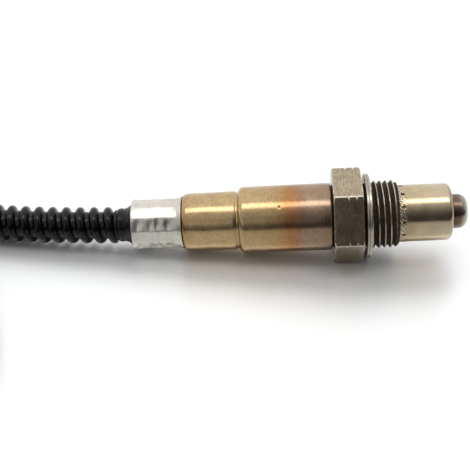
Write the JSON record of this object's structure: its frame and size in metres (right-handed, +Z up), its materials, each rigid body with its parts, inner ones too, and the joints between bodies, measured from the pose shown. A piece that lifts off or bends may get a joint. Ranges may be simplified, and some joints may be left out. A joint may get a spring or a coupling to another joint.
{
  "type": "oxygen sensor",
  "caption": "Exhaust oxygen sensor with a threaded hexagonal metal body, nested protection tubes at the tip, a crimped rear collar and a corrugated lead with a sealed plug.",
  "frame": {"origin": "on the surface it lies on, under the middle of the sensor's own box without the free lead and what is on it", "axes": "+Z up; the body lies along X with its exhaust tip to +X, nose up by 4.2 degrees; Y runs across the body"},
  "size_m": [0.2312, 0.1225, 0.0284],
  "materials": {
    "sleeve_steel": "stainless, drawn, tinted gold by heat",
    "shell_steel": "turned stainless, dull",
    "ring_steel": "folded stainless sheet",
    "tube_steel": "deep-drawn stainless, pale straw",
    "tip_steel": "deep-drawn stainless, darkened",
    "spring_steel": "spring strip",
    "collar_metal": "bright, crimped",
    "ceramic": "fired ceramic",
    "ceramic_element": "fired ceramic laminate",
    "grommet_rubber": "moulded",
    "conduit_rubber": "moulded, corrugated",
    "seal_rubber": "moulded silicone",
    "wire_insulation": "extruded fluoropolymer",
    "tie_plastic": "moulded nylon",
    "plug_plastic": "moulded, finely textured",
    "lock_plastic": "moulded",
    "pin_metal": "tinned copper alloy"
  },
  "bodies": {
    "root": {"outer_protection_tube": "tube_steel", "inner_protection_tube": "tip_steel", "shell": "shell_steel", "sealing_ring": "ring_steel", "front_insulator": "ceramic", "powder_seal": "ceramic", "rear_insulator": "ceramic", "sensing_element": "ceramic_element", "contact_holder_upper": "ceramic", "contact_holder_lower": "ceramic", "holder_clip": "spring_steel", "protective_sleeve": "sleeve_steel", "wire_grommet": "grommet_rubber", "crimp_collar": "collar_metal", "conduit_cuff": "conduit_rubber", "conduit_lead": "conduit_rubber", "conduit_coil": "conduit_rubber", "conduit_tail": "conduit_rubber", "coil_tie": "tie_plastic", "plug_rear_cover": "plug_plastic", "plug_housing": "plug_plastic", "plug_wire_seal": "seal_rubber", "terminal_lock": "lock_plastic", "trim_resistor": "ceramic_element", "contact_1": "spring_steel", "wire_1": "wire_insulation", "contact_2": "spring_steel", "wire_2": "wire_insulation", "contact_3": "spring_steel", "wire_3": "wire_insulation", "contact_4": "spring_steel", "wire_4": "wire_insulation", "contact_5": "spring_steel", "wire_5": "wire_insulation", "plug_pin_1": "pin_metal", "plug_pin_2": "pin_metal", "plug_pin_3": "pin_metal", "plug_pin_4": "pin_metal", "plug_pin_5": "pin_metal", "plug_pin_6": "pin_metal"}
  },
  "joints": []
}
